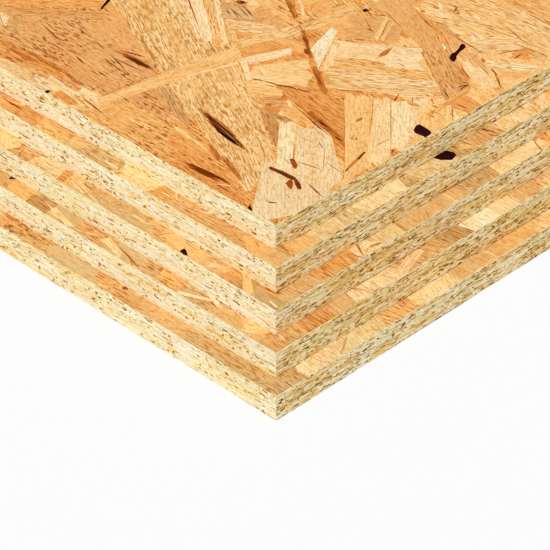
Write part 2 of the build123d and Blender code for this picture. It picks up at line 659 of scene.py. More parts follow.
def stack_levels(outlines):
    """How many outlines lie under each one, going by their boxes, as a share of the most."""
    lows = np.array([outline.min(0) for outline in outlines])
    highs = np.array([outline.max(0) for outline in outlines])
    levels = np.zeros(len(outlines), int)
    for i in range(1, len(outlines)):
        under = (lows[:i] < highs[i]).all(1) & (highs[:i] > lows[i]).all(1)
        if under.any():
            levels[i] = levels[:i][under].max() + 1
    return levels / max(levels.max(), 1)


def dress_face(rng, face, strands):
    """A face of a panel: a pressed sheet, and strands on it from the deepest to the outermost."""
    plates = Plates()

    def texture_of(flat):
        return flat / face.size

    def sheet_texture(corners):
        return np.array([texture_of(face.flat(corner)) for corner in corners])

    inset = np.full(2, SHEET_INSET)
    ends = np.stack((inset, face.size - inset))
    sheet = np.concatenate((face.place(ends, -SHEET_DEPTH), face.place(ends, -SHEET_DEPTH - SHEET_THICKNESS)))
    add_box(plates, sheet.min(0), sheet.max(0), "honey", sheet_texture)
    for strand, level in zip(strands, stack_levels([strand.outline for strand in strands])):
        top = -FACE_RELIEF * (1 - level)
        bevel = min(STRAND_BEVEL, BEVEL_SHARE * strand.width)
        border = rng.uniform(*FACE_INSETS, 2)
        area = (border, face.size - border)
        add_plate(rng, plates, face, strand, area, top, STRAND_STEP, bevel, texture_of)
    return plates


# Strands that the photograph shows on the top panel, from the deepest up: tone, figure, and the pixels
# of four corners, the first two along one side of the grain and the last two back along the other
PHOTO_STRANDS = (
    ("tan", "marked", (-60, 20), (150, 142), (190, 80), (-10, -40)),
    ("honey", "marked", (20, -20), (165, 70), (180, 40), (60, -40)),
    ("tan", "lined", (-30, 13), (100, 19), (116, 12), (-30, 3)),
    ("honey", "lined", (-30, 3), (100, 9), (108, -6), (-30, -14)),
    ("orange", "dashed", (-25, 45), (62, 80), (70, 70), (-20, 27)),
    ("tan", "plain", (84, 22), (118, 50), (142, 48), (122, 20)),
    ("dull", "plain", (-10, 68), (30, 80), (34, 70), (-10, 56)),
    ("oat", "lined", (28, 82), (50, 93), (56, 84), (36, 73)),
    ("pale", "plain", (43, 80), (70, 97), (82, 95), (52, 75)),
    ("orange", "lined", (50, 93), (68, 104), (80, 104), (62, 90)),
    ("golden", "plain", (78, 97), (112, 128), (126, 126), (98, 90)),
    ("pale", "plain", (76, 92), (96, 102), (104, 98), (84, 86)),
    ("honey", "checked", (85, 118), (245, 215), (262, 188), (115, 88)),
    ("golden", "checked", (88, 112), (160, 153), (176, 128), (112, 92)),
    ("orange", "lined", (165, 165), (232, 205), (256, 205), (200, 150)),
    ("biscuit", "lined", (155, 89), (178, 120), (194, 128), (172, 85)),
    ("pale", "hatched", (106, -5), (248, 196), (276, 160), (222, -5)),
    ("peach", "lined", (238, 140), (252, 174), (267, 160), (254, 130)),
    ("pale", "lined", (158, -14), (182, 24), (190, 22), (172, -14)),
    ("milk", "lined", (168, -14), (197, 38), (206, 40), (188, -14)),
    ("milk", "plain", (184, -14), (204, 41), (213, 40), (200, -14)),
    ("golden", "lined", (199, -10), (212, 36), (219, 34), (209, -10)),
    ("pale", "plain", (211, -6), (223, 44), (229, 43), (218, -6)),
    ("peach", "lined", (221, -5), (230, 42), (237, 40), (228, -5)),
    ("honey", "plain", (211, 37), (212, 46), (222, 46), (221, 36)),
    ("tan", "plain", (240, 20), (262, 3), (290, 28), (268, 42)),
    ("biscuit", "plain", (222, 18), (257, 21), (246, 1), (221, 2)),
    ("pale", "lined", (226, 30), (276, 34), (276, 24), (230, 19)),
    ("peach", "plain", (246, 84), (312, 86), (310, 58), (250, 66)),
    ("golden", "plain", (246, 80), (285, 90), (284, 98), (248, 96)),
    ("golden", "plain", (96, 108), (240, 58), (236, 46), (98, 98)),
    ("pale", "plain", (187, 76.5), (239, 63.5), (238, 61.5), (187, 74)),
    ("peach", "lined", (238, 48), (300, 34), (298, 24), (236, 40)),
    ("orange", "plain", (244, 58), (284, 51), (262, 45), (243, 50)),
    ("milk", "plain", (240, 66), (292, 54), (291, 47), (240, 58)),
    ("pale", "plain", (241, 62), (246, 80), (252, 80), (248, 62)),
    ("pale", "plain", (259, 66), (264, 78), (268, 77), (264, 66)),
    ("honey", "plain", (296, 12), (352, -6), (340, -15), (292, -2)),
    ("honey", "plain", (318, 30), (348, 40), (362, 22), (340, 14)),
    ("peach", "lined", (290, 38), (353, 14), (350, 6), (287, 29)),
    ("pale", "plain", (296, -5), (303, 16), (306, 14), (300, -5)),
    ("golden", "lined", (318, 72), (440, 100), (445, 62), (330, 40)),
    ("tan", "plain", (345, 38), (398, 42), (405, 18), (350, 14)),
    ("pale", "plain", (336, 56), (430, 66), (432, 50), (338, 40)),
    ("pale", "lined", (326, 88), (428, 98), (436, 80), (330, 68)),
    ("milk", "plain", (384, 66), (436, 72), (430, 48), (386, 46)),
    ("peach", "plain", (373, 38), (386, 14), (390, 16), (378, 40)),
    ("peach", "plain", (380, 40), (392, 20), (395, 22), (384, 41)),
    ("brown", "lined", (282, -6), (294, 19), (299, 16), (289, -6)),
    ("brown", "lined", (300, 30), (309, 58), (313, 57), (305, 29)),
    ("brown", "lined", (311, 67), (322, 94), (328, 91), (317, 66)),
    ("straw", "plain", (331, 27), (311, 48), (318, 70), (338, 30)),
    ("pale", "plain", (331, 44), (322, 71), (334, 64), (338, 44)),
    ("grey", "lined", (258, 106), (276, 148), (281, 124), (266, 108)),
    ("tan", "lined", (262, 106), (288, 110), (284, 95), (264, 97)),
    ("grey", "lined", (264, 113), (286, 123), (292, 119), (270, 110)),
    ("honey", "plain", (284, 112), (316, 128), (312, 116), (292, 104)),
    ("oat", "plain", (262, 164), (250, 224), (336, 204), (322, 172)),
    ("oat", "plain", (298, 128), (290, 200), (344, 184), (330, 126)),
    ("milk", "plain", (279, 122), (276, 170), (292, 166), (297, 121)),
    ("orange", "lined", (281, 92), (344, 146), (362, 110), (306, 84)),
    ("brown", "lined", (304, 112), (344, 147), (345, 138), (312, 110)),
    ("golden", "plain", (344, 92), (344, 185), (372, 165), (373, 96)),
    ("pale", "plain", (373, 98), (369, 165), (391, 155), (391, 97)),
    ("milk", "plain", (391, 100), (391, 152), (420, 136), (428, 103)),
    ("golden", "plain", (418, 104), (416, 140), (452, 126), (452, 104)),
    ("golden", "plain", (415, 62), (470, 118), (560, 62), (500, 14)),
    ("peach", "lined", (415, 14), (545, 62), (565, 30), (430, -20)),
    ("pale", "lined", (505, 20), (552, 46), (560, 32), (515, 6)),
    ("golden", "lined", (488, -8), (560, 28), (565, 5), (520, -15)),
    ("tan", "plain", (430, 22), (478, 78), (488, 68), (444, 22)),
    ("tan", "plain", (372, 4), (424, 50), (442, 34), (398, -10)),
    ("pale", "lined", (468, 54), (530, 50), (520, 37), (466, 36)),
    ("golden", "plain", (498, 78), (548, 86), (560, 66), (500, 62)),
    ("orange", "plain", (511, 58), (530, 60), (530, 49), (514, 50)),
    ("pale", "plain", (458, 64), (478, 84), (486, 80), (468, 60)),
    ("golden", "lined", (474, 80), (492, 98), (508, 92), (488, 74)),
    ("pale", "plain", (466, 70), (482, 90), (498, 86), (480, 66)),
    ("cream", "lined", (486, 67), (534, 72), (538, 66), (486, 60)),
    ("honey", "plain", (500, 78), (545, 80), (546, 73), (500, 71)),
    ("cream", "plain", (438, 3), (440, 18), (443, 17), (442, 3)),
    ("orange", "plain", (446, 104), (470, 114), (484, 106), (462, 92)),
    ("tan", "plain", (402, 12), (446, 100), (472, 88), (434, 18)),
    ("tan", "lined", (420, 52), (445, 101), (471, 88), (450, 46)),
    ("honey", "lined", (424, 120), (470, 92), (467, 88), (426, 114)),
    ("honey", "dashed", (434, 33), (442, 47), (447, 42), (440, 31)),
    ("cream", "plain", (441, 44), (444, 50), (447, 48), (444, 42)),
    ("cream", "plain", (451, 28), (457, 29), (457, 26), (451, 25)),
    ("cream", "plain", (470, 36), (473, 41), (477, 39), (474, 33)),
    ("pale", "plain", (478, 34), (480, 40), (485, 39), (484, 33)),
    ("cream", "plain", (474, 18), (479, 20), (481, 18), (475, 15)),
    ("pale", "plain", (-2, 22), (6, 26), (10, 16), (0, 11)),
    ("grey", "plain", (9, 26), (14, 30), (21, 20), (14, 13)),
)
# Strands along the open strips of the panels under it, by the panel's level and from the near corner on:
# tone, figure, and how far along the strip each one reaches, in millimetres
LONG_STRIP_STRANDS = {
    4: (("peach", "lined", 24), ("tan", "lined", 91), ("orange", "lined", 113), ("peach", "plain", 140),
        ("biscuit", "lined", 172), ("tan", "plain", 184), ("honey", "lined", 213), ("orange", "lined", 236)),
    3: (("grey", "lined", 35), ("orange", "lined", 51), ("tan", "plain", 64), ("honey", "plain", 97),
        ("tan", "lined", 120), ("biscuit", "plain", 173), ("honey", "plain", 183), ("orange", "lined", 194),
        ("dull", "plain", 215), ("tan", "dashed", 236)),
    2: (("tan", "lined", 19), ("peach", "plain", 33), ("tan", "plain", 60), ("biscuit", "lined", 79),
        ("honey", "lined", 102), ("biscuit", "lined", 122), ("biscuit", "plain", 150), ("tan", "lined", 172),
        ("biscuit", "plain", 198), ("grey", "lined", 221), ("honey", "plain", 236)),
    1: (("biscuit", "lined", 81), ("tan", "plain", 117), ("tan", "lined", 157), ("biscuit", "plain", 202),
        ("tan", "dashed", 236)),
}
END_STRIP_STRANDS = {
    4: (("tan", "plain", 20), ("honey", "plain", 34), ("dull", "plain", 62), ("dull", "lined", 84),
        ("pale", "plain", 111), ("biscuit", "lined", 132), ("dull", "plain", 157), ("biscuit", "lined", 181),
        ("tan", "lined", 206), ("pale", "lined", 233)),
    3: (("grey", "plain", 13), ("tan", "plain", 40), ("orange", "lined", 68), ("pale", "plain", 95),
        ("dull", "plain", 109), ("orange", "lined", 117), ("tan", "plain", 145), ("tan", "plain", 174),
        ("biscuit", "lined", 194), ("peach", "plain", 233)),
    2: (("honey", "plain", 25), ("orange", "lined", 51), ("tan", "plain", 66), ("pale", "plain", 94),
        ("peach", "plain", 117), ("tan", "lined", 150), ("grey", "lined", 171), ("cream", "plain", 199),
        ("peach", "plain", 214), ("tan", "plain", 233)),
    1: (("dull", "plain", 25), ("pale", "plain", 58), ("dull", "plain", 91), ("honey", "lined", 124),
        ("peach", "plain", 164), ("tan", "plain", 197), ("honey", "plain", 233)),
}
# Streaks on the top panel, most of them dark: tone, the pixels of the two ends, and the width in millimetres
PHOTO_STREAKS = (
    ("russet", (40, 22), (62, 42), 1.2), ("rust", (44, 21), (60, 34), 0.7),
    ("russet", (75, 55), (85, 64), 1.4), ("rust", (72, 18), (90, 33), 0.8),
    ("rust", (92, 38), (106, 50), 1.1), ("russet", (104, 57), (113, 66), 1.4),
    ("russet", (111, 55), (126, 69), 1.4), ("rust", (89, 68), (100, 76), 1.0),
    ("russet", (96, 69), (108, 78), 1.3), ("rust", (77, 79), (86, 87), 1.0),
    ("russet", (80, 95), (105, 115), 1.3), ("rust", (30, 41), (57, 61), 0.9),
    ("rust", (20, 36), (32, 43), 0.8), ("rust", (76, 24), (88, 36), 0.8), ("brown", (2, 44), (44, 66), 3.0),
    ("brown", (20, 46), (70, 76), 3.4), ("brown", (44, 52), (62, 62), 2.0),
    ("brown", (60, 68), (84, 88), 2.0), ("brown", (114, 48), (159, 73), 4.4),
    ("rust", (116, 50), (158, 72), 2.4), ("umber", (119, 53), (157, 71), 2.4),
    ("rust", (117, 49), (147, 57), 1.4), ("rust", (110, 56), (142, 71), 1.2),
    ("rust", (104, 58), (130, 76), 1.0), ("brown", (195, 104), (249, 153), 7.0),
    ("umber", (198, 107), (247, 151), 5.2), ("bark", (211, 124), (244, 149), 3.0),
    ("grey", (204, 110), (240, 140), 0.6), ("brown", (208, 117), (242, 146), 0.6),
    ("grey", (217, 128), (240, 144), 0.5), ("brown", (419, 12), (427, 11), 2.0),
    ("brown", (453, 5), (460, 15), 1.6), ("brown", (444, 9), (457, 12), 1.4),
    ("russet", (173, 157), (237, 187), 4.4), ("umber", (190, 166), (222, 179), 1.4),
    ("brown", (207, 138), (223, 166), 2.4), ("brown", (216, 148), (248, 189), 3.0),
    ("rust", (221, 156), (236, 174), 1.0), ("rust", (210, 179), (236, 196), 1.6),
    ("pale", (209, 183), (240, 186), 1.2), ("rust", (283, -4), (296, 19), 1.2),
    ("rust", (301, 30), (311, 58), 1.4), ("umber", (298, 24), (303, 31), 0.9),
    ("rust", (313, 68), (325, 92), 1.6), ("rust", (303, 34), (308, 45), 2.2),
    ("rust", (304, 47), (310, 55), 2.2), ("rust", (233, 1), (249, 3), 4.0),
    ("umber", (238, 1), (247, 3), 2.0), ("russet", (224, 6), (232, 17), 1.2),
    ("russet", (228, 5), (240, 19), 1.1), ("umber", (244, 6), (255, 19), 1.2),
    ("russet", (236, 4), (250, 18), 1.0), ("russet", (240, 3), (254, 16), 0.9),
    ("russet", (232, 8), (245, 20), 0.9), ("brown", (299, 28), (331, 20), 1.0),
    ("umber", (263, 201), (279, 203), 1.6), ("brown", (264, 199), (270, 201), 1.2),
    ("rust", (306, 181), (324, 198), 1.4), ("russet", (250, 78), (266, 81), 1.5),
    ("rust", (262, 80), (284, 87), 1.6), ("russet", (276, 84), (296, 88), 1.6),
    ("rust", (290, 87), (313, 93), 1.6), ("russet", (300, 90), (311, 92), 1.5),
    ("rust", (285, 95), (338, 138), 0.8), ("brown", (292, 92), (343, 132), 1.0),
    ("rust", (300, 90), (345, 122), 0.7), ("rust", (288, 99), (330, 136), 0.8),
    ("brown", (306, 96), (340, 118), 1.0), ("rust", (310, 112), (343, 140), 1.2),
    ("umber", (316, 119), (328, 128), 1.6), ("umber", (333, 135), (344, 143), 1.2),
    ("umber", (330, 136), (306, 116), 0.6), ("brown", (354, 123), (365, 116), 2.0),
    ("rust", (391, 105), (401, 91), 1.0), ("orange", (402, 100), (423, 108), 2.4),
    ("brown", (376, 59), (394, 46), 3.0), ("orange", (410, 4), (449, 44), 2.6),
    ("orange", (436, 24), (456, 52), 1.6), ("rust", (416, 12), (440, 34), 1.0),
    ("orange", (453, 62), (472, 84), 2.0), ("rust", (459, 66), (472, 80), 1.0),
    ("umber", (457, 91), (470, 84), 1.3), ("umber", (460, 83), (469, 82), 1.1),
    ("umber", (442, 89), (450, 99), 1.4), ("russet", (455, 103), (469, 109), 1.4),
    ("brown", (505, 25), (531, 48), 1.4), ("brown", (530, 48), (552, 59), 1.4),
    ("brown", (499, 52), (531, 49), 1.2), ("brown", (481, 56), (485, 64), 1.8),
    ("brown", (493, 68), (501, 87), 1.4), ("brown", (344, 90), (344, 176), 0.5),
    ("brown", (366, 92), (373, 103), 0.6), ("brown", (373, 101), (368, 140), 0.5),
    ("brown", (426, 108), (444, 116), 1.2), ("rust", (430, 105), (440, 108), 1.2),
    ("brown", (427, 114), (436, 118), 1.4), ("brown", (418, 14), (470, 22), 0.7),
    ("brown", (440, 8), (486, 12), 0.6), ("rust", (468, 3), (486, 8), 0.7),
    ("brown", (455, 18), (520, 33), 0.7), ("brown", (480, 26), (550, 50), 0.6),
    ("brown", (425, 18), (462, 30), 0.8), ("brown", (500, 12), (550, 32), 0.6),
    ("brown", (505, 40), (548, 56), 0.9), ("rust", (441, 28), (486, 55), 1.0),
    ("rust", (488, 56), (530, 48), 1.0), ("rust", (452, 5), (459, 8), 1.4),
    ("russet", (458, 7), (453, 13), 1.2), ("rust", (453, 13), (461, 14), 1.2),
    ("russet", (456, 88), (470, 84), 1.6), ("rust", (384, 10), (402, 28), 0.8),
    ("rust", (365, 28), (374, 31), 1.4), ("brown", (372, 14), (390, 16), 0.9),
    ("brown", (330, 8), (345, 3), 0.9), ("rust", (489, 66), (498, 76), 1.4),
    ("rust", (498, 76), (501, 90), 1.2), ("rust", (512, 60), (524, 52), 1.6),
    ("brown", (391, 100), (391, 138), 0.5), ("brown", (325, 145), (323, 176), 0.6),
    ("rust", (318, 140), (324, 150), 0.6),
)
# Knots, gaps and blots: the level of the panel that shows them, tone, and the pixels of the outline. The
# near-black gaps between strands are flat plates with their shade painted
PHOTO_KNOTS = (
    (5, "russet", (268, 167), (271, 166), (284, 171), (296, 177), (297, 180), (294, 180), (280, 174),
     (269, 169)),
    (5, "rust", (285, 183), (288, 180), (292, 178), (293.5, 182), (293, 187), (291, 189.5), (288, 187)),
    (5, "russet", (293, 177.5), (297, 178.5), (300, 182), (302, 187), (300.5, 190), (297, 188.5),
     (294.5, 184)),
    (5, "umber", (275, 169.5), (284, 172.5), (293, 177), (296, 180), (290, 179), (282, 175)),
    (5, "umber", (296, 181), (299, 184), (300.5, 188), (298, 187)),
    (5, "rust", (289, 159), (292, 158), (295, 159), (298, 165), (296, 169), (293, 167), (291, 163)),
    (5, "brown", (350, 138), (352.5, 135.5), (354, 137.5), (352, 140)),
    (5, "rust", (354.5, 138.5), (357, 137), (356.5, 140.5)),
    (5, "brown", (345, 171), (347, 167), (356, 158), (364, 151), (366, 152), (358, 161), (349, 169)),
    (5, "umber", (357, 158.5), (364, 151), (366, 152), (359, 160)),
    (5, "umber", (344.5, 172), (346.5, 168), (349, 168.5), (347, 171)),
    (5, "rust", (390.5, 149.5), (393, 148.5), (394.5, 150.5), (392, 152.5)),
    (5, "bark", (413, 130), (416, 125), (420, 124), (430, 130), (432, 133), (425, 137), (415, 133)),
    (5, "bark", (449, 58), (450, 55), (452, 53), (454.5, 52), (456.7, 50.2), (458.8, 47.6), (459.8, 45),
     (462, 43.5), (465, 44), (466, 47), (463.5, 49.5), (460.8, 51.2), (458.6, 53.6), (457, 56),
     (456.5, 59), (455, 61.5), (452, 62)),
    (5, "bark", (362, 10), (366, 8), (369, 10), (365, 12)),
    (5, "bark", (100, 8), (103, 4), (107, -1), (109, -4), (114, -4), (109, 2), (105, 6), (102, 9.5)),
    (5, "bark", (44, 91), (48, 89), (51, 91), (47, 93)),
    (5, "bark", (247, 208), (250, 204), (253, 211)),
    (4, "bark", (433, 158), (440, 152), (447, 150), (454, 152), (457, 155), (452, 160), (441, 160)),
    (3, "bark", (179, 251), (182, 249), (185, 248), (187, 251), (188, 256), (184, 255)),
    (2, "bark", (8, 179), (12, 175), (17, 179)),
)


def known_strand(rng, quad, points, tone, figure, tint=PLAIN_TINT):
    """A strand whose tone is known, and now and then a painted shadow of the gap beside it."""
    strands = with_shadow_seam(rng, quad, points, tone, figure)
    strands[-1].spread = STEADY_SPREAD
    strands[-1].tint = tint
    return strands


def photo_strands(rng, face):
    """The strands that the photograph shows on the top panel."""
    strands = []
    for tone, figure, *pixels in PHOTO_STRANDS:
        quad = np.array([face.seen(pixel) for pixel in pixels])
        strands += known_strand(rng, quad, FINE_POINTS, tone, figure)
    return strands


def strip_strands(rng, face, level):
    """The strands that the photograph shows along the two open strips of a lower panel."""
    length = face.size[0]
    inside = length - STRIP_WIDTH
    strands = []
    for at_end, rows in ((False, LONG_STRIP_STRANDS[level]), (True, END_STRIP_STRANDS[level])):
        start = 0.0
        for tone, figure, reach in rows:
            end = reach * MM
            slants = rng.uniform(-1, 1, 2) * min(STRIP_SLANT, SLANT_SHARE * (end - start))
            near, far = start - STRIP_OVERLAP, end + STRIP_OVERLAP
            if at_end:
                quad = ((inside, near + slants[0]), (length, near), (length, far), (inside, far + slants[1]))
            else:
                near, far = length - near, length - far
                quad = ((far, 0), (near, 0), (near + slants[0], STRIP_WIDTH), (far + slants[1], STRIP_WIDTH))
            strands += known_strand(rng, np.array(quad), STRIP_POINTS, tone, figure, STRIP_TINT)
            start = end
    return shuffled(rng, strands)


def photo_streaks(rng, face):
    """The streaks among them."""
    strands = []
    for tone, start, end, width in PHOTO_STREAKS:
        strands += split(rng, face.seen(start), face.seen(end), width * MM, tone)
    return strands


def photo_knots(face, level):
    """The knots, gaps and blots on the panel at that level, the gaps as flat plates of painted shade."""
    strands = []
    for knot_level, tone, *pixels in PHOTO_KNOTS:
        if knot_level == level:
            outline = np.array([face.seen(pixel) for pixel in pixels])
            if signed_area(outline) < 0:
                outline = outline[::-1]
            strands.append(Strand(outline, LENGTHWAYS, KNOT_WIDTH, tone, "still"))
    return strands


def ribbon(rng, centre, length, height, tone, figure):
    """A cut strand's end or side on a sawn edge: a long shape with blunt tips."""
    tips = rng.uniform(*TIP_SHARES, 4) * length
    lifts = rng.uniform(-TIP_LIFT_SHARE, TIP_LIFT_SHARE, 2) * height
    half, rise = length / 2, height / 2
    outline = np.array((
        (-half, lifts[0]), (tips[0] - half, -rise), (half - tips[1], -rise),
        (half, lifts[1]), (half - tips[2], rise), (tips[3] - half, rise),
    ))
    if length < CUT_ALONG_LENGTHS[0]:
        outline = outline[[1, 2, 4, 5]]
    outline[:, 1] += outline[:, 0] * math.tan(rng.normal(0, EDGE_TILT))
    return Strand(centre + outline, LENGTHWAYS, height, tone, figure)


def cut_rows(rng, size, with_face_strands):
    """A stretch of a sawn edge as one piece, and over it rows of cut strands."""
    length, height = size
    tones = ALONG_TONES if with_face_strands else ACROSS_TONES
    whole = np.array(((0, 0), (length, 0), (length, height), (0, height)), float)
    ribbons = [Strand(whole, LENGTHWAYS, height, "straw", "lined")]
    for row in np.arange(0, height + EDGE_PITCH, EDGE_PITCH):
        in_core = FACE_LAYER_SHARE < row / height < 1 - FACE_LAYER_SHARE
        along_lengths = CUT_CORE_LENGTHS if in_core else CUT_ALONG_LENGTHS
        lengths = along_lengths if with_face_strands != in_core else CUT_ACROSS_LENGTHS
        figures = SMALL_FIGURES if with_face_strands else CROSS_FIGURES
        reach = rng.uniform(-ROW_LEAD_SHARE, 0) * lengths[1]
        while reach < length:
            long = between(rng, lengths)
            shift = rng.uniform(-ROW_SHIFT_SHARE, ROW_SHIFT_SHARE) * EDGE_PITCH
            centre = np.array((reach + long / 2, row + shift))
            tall = rng.uniform(*EDGE_HEIGHTS)
            whole_length = long * CUT_OVERLAP_SHARE
            ribbons.append(ribbon(rng, centre, whole_length, tall, drawn(rng, tones), drawn(rng, figures)))
            reach += long
    return ribbons[:1] + shuffled(rng, ribbons[1:])


def edge_specks(rng, size, with_face_strands, foot_shadows):
    """Small dark specks, and painted shade of small gaps, on a stretch of a sawn edge, and painted shadow
    along its foot.
    """
    length, height = size
    speck_area = SPECK_AREA if with_face_strands else CROSS_SPECK_AREA
    dash_area = DASH_AREA if with_face_strands else CROSS_DASH_AREA
    specks = []
    for _ in range(int(length * height / (speck_area * np.mean(CLUSTER_SIZE)))):
        middle = rng.uniform(0, 1, 2) * size
        for _ in range(rng.integers(*CLUSTER_SIZE)):
            long, tall = sized(rng, SPECK_SIZES)
            centre = middle + rng.normal(0, 1, 2) * CLUSTER_SPREAD
            specks.append(ribbon(rng, centre, long, tall, drawn(rng, SPECK_TONES), "still"))
            if rng.random() < CORE_CHANCE:
                core_long, core_tall = CORE_SHARE * long, CORE_SHARE * tall
                specks.append(ribbon(rng, centre, core_long, core_tall, drawn(rng, DASH_TONES), "still"))
    # Dark dashes: mostly painted shade of small gaps between cut strands
    for _ in range(int(length * height / dash_area)):
        long, tall = sized(rng, DASH_SIZES)
        specks.append(ribbon(rng, rng.uniform(0, 1, 2) * size, long, tall, drawn(rng, DASH_TONES), "still"))
    # Dark slivers along the foot of the edge: painted shadow where the panel meets the one under it
    spacing, *foot_shadow_sizes = foot_shadows
    for _ in range(int(length / spacing)):
        long, tall = sized(rng, foot_shadow_sizes)
        centre = np.array((rng.uniform(0, length), tall / 2))
        specks.append(ribbon(rng, centre, long, tall, drawn(rng, FOOT_SHADOW_TONES), "still"))
    return specks


def panel_sides(low, high):
    """A panel's sawn edges, whether the saw ran along the face strands there, and the painted shadows at
    their feet.
    """
    length, width, thickness = high - low
    return (
        (Face((low[0], low[1], low[2]), (1, 0, 0), (0, 0, 1), length, thickness), True, LONG_FOOT_SHADOWS),
        (Face((high[0], low[1], low[2]), (0, 1, 0), (0, 0, 1), width, thickness), False, END_FOOT_SHADOWS),
        (Face((high[0], high[1], low[2]), (-1, 0, 0), (0, 0, 1), length, thickness), True, BACK_FOOT_SHADOWS),
        (Face((low[0], high[1], low[2]), (0, -1, 0), (0, 0, 1), width, thickness), False, BACK_FOOT_SHADOWS),
    )


def dress_edges(rng, low, high):
    """The sawn edges of a panel, round the block that they belong to."""
    plates = Plates()
    sides = panel_sides(low, high)
    stretches = [max(1, round(face.size[0] / SEGMENT_LENGTH)) for face, _, _ in sides]
    rows = sum(stretches) + 1  # of the texture map, the last for the block
    skin = np.array((BLOCK_INSET, BLOCK_INSET, SHEET_DEPTH + SHEET_THICKNESS))

    def block_texture(corners):
        middle = np.array((1 / 2, 1 - 1 / (2 * rows)))  # of the last row
        return middle + corners[:, :2] * (BLOCK_MAP_SHARE, BLOCK_MAP_SHARE / rows)

    add_box(plates, low + skin, high - skin, "sand", block_texture)
    row = 0
    for (face, with_face_strands, foot_shadows), stretch_count in zip(sides, stretches):
        stretch = np.array((face.size[0] / stretch_count, face.size[1]))
        for number in range(stretch_count):
            start = np.array((number * stretch[0], 0.0))

            def texture_of(flat, start=start, stretch=stretch, row=row):
                shares = (flat - start) / stretch
                rise = MAP_MARGIN_SHARE + (1 - 2 * MAP_MARGIN_SHARE) * shares[:, 1]
                return np.stack((shares[:, 0], (row + rise) / rows), -1)

            ribbons = cut_rows(rng, stretch, with_face_strands)
            ribbons += edge_specks(rng, stretch, with_face_strands, foot_shadows)
            levels = stack_levels([strand.outline for strand in ribbons])
            for strand, level in zip(ribbons, levels):
                strand.outline = strand.outline + start
                top = -EDGE_RELIEF * (1 - level)
                border = rng.uniform(*EDGE_INSETS, 2) if level > 0 else np.full(2, BASE_INSET)
                area = (start + border, start + stretch - border)
                add_plate(rng, plates, face, strand, area, top, EDGE_STEP, EDGE_BEVEL, texture_of)
            row += 1
    return plates


def node(tree, kind, inputs=None, **settings):
    """A shader node with its settings, and its inputs given as values or as other nodes' outputs."""
    made = tree.nodes.new(kind)
    for name, value in settings.items():
        setattr(made, name, value)
    for name, value in (inputs or {}).items():
        if isinstance(value, bpy.types.NodeSocket):
            tree.links.new(value, made.inputs[name])
        else:
            made.inputs[name].default_value = value
    return made


def noise(tree, grain, pace, detail=2.0, roughness=0.5, distortion=0.0):
    """Noise stretched along the grain, with its paces along and across per millimetre."""
    scaled = node(tree, "ShaderNodeVectorMath", {0: grain, 1: (*pace, 1.0)}, operation="MULTIPLY")
    made = node(tree, "ShaderNodeTexNoise", {"Vector": scaled.outputs[0], "Scale": 1.0, "Detail": detail,
                                             "Roughness": roughness, "Distortion": distortion},
                noise_dimensions="2D")
    return made.outputs[0]


def ranged(tree, value, low, high, to_low=0.0, to_high=1.0):
    """A value carried from one range to another, and held within it."""
    made = node(tree, "ShaderNodeMapRange", {0: value, 1: low, 2: high, 3: to_low, 4: to_high}, clamp=True)
    return made.outputs[0]


def reckoned(tree, operation, values):
    """Values taken together by one operation, from the first to the last."""
    result = values[0]
    for value in values[1:]:
        result = node(tree, "ShaderNodeMath", {0: result, 1: value}, operation=operation).outputs[0]
    return result


def times(tree, *values):
    return reckoned(tree, "MULTIPLY", values)


def plus(tree, *values):
    return reckoned(tree, "ADD", values)


def tinted(tree, colour, tint):
    return node(tree, "ShaderNodeVectorMath", {0: colour, 1: tint}, operation="MULTIPLY").outputs[0]


def blended(tree, factor, first, second):
    made = node(tree, "ShaderNodeMix", {"Factor": factor}, data_type="RGBA")
    tree.links.new(first, made.inputs[6])
    tree.links.new(second, made.inputs[7])
    return made.outputs[2]


# Detail, roughness and distortion of each noise, and where in its range it starts to show and shows in full
NOISES = {
    "fibre": (2.0, 0.55, 0.0, 0.40, 0.62),
    "fleck": (1.5, 0.5, 0.2, 0.555, 0.615),
    "band": (2.0, 0.5, 0.0, 0.36, 0.66),
    "speckle": (2.0, 0.6, 0.8, 0.57, 0.63),
    "knife": (2.0, 0.5, 0.0, 0.50, 0.66),
    "patch": (1.0, 0.5, 0.0, 0.42, 0.58),
    "dash": (1.0, 0.5, 0.0, 0.60, 0.66),
}
# Paces of the noises along and across the grain, paces of rings and stripes across it, and tints of a tone
# The last entry of each: how dark the painted shade and dirt along a strand's rim gets
FACE_WOOD = {
    "fibre": (0.022, 0.72), "fleck": (0.13, 0.95), "speckle": (0.42, 0.62), "band": (0.010, 0.08),
    "ring": (0.012, 0.08), "ring_pace": 0.22, "stripe_pace": 0.42, "knife": (0.3, 0.05),
    "dash": (0.16, 0.58), "patch": (0.02, 0.05),
    "light": (1.08, 1.08, 1.08), "warm": (0.87, 0.56, 0.28), "rich": (0.62, 0.28, 0.06),
    "spot": (0.85, 0.51, 0.19), "deep": (0.40, 0.17, 0.03), "rim_shade_and_dirt_share": 0.8,
}
EDGE_WOOD = {
    "fibre": (0.035, 0.75), "fleck": (0.20, 0.85), "speckle": (0.7, 0.9), "band": (0.015, 0.20),
    "ring": (0.03, 0.2), "ring_pace": 0.4, "stripe_pace": 0.6, "knife": (0.7, 0.3),
    "dash": (0.20, 0.85), "patch": (0.05, 0.15),
    "light": (1.06, 1.06, 1.06), "warm": (0.84, 0.69, 0.36), "rich": (0.68, 0.47, 0.11),
    "spot": (0.84, 0.64, 0.24), "deep": (0.46, 0.27, 0.02), "rim_shade_and_dirt_share": 0.1,
}
SPECKLE_BAND_SHARES = (0.3, 1.0)  # of the speckles, from where bands are light to where they are dark
SPECKLE_LINE_SHARES = (1.0, 0.3)  # and from faint grain lines to strong ones
STRONG_LINES = (0.4, 1.0)  # from where lines count as faint to where they count as strong
RING_BEND, STRIPE_BEND = 4.0, 2.0  # how many lines they wander across
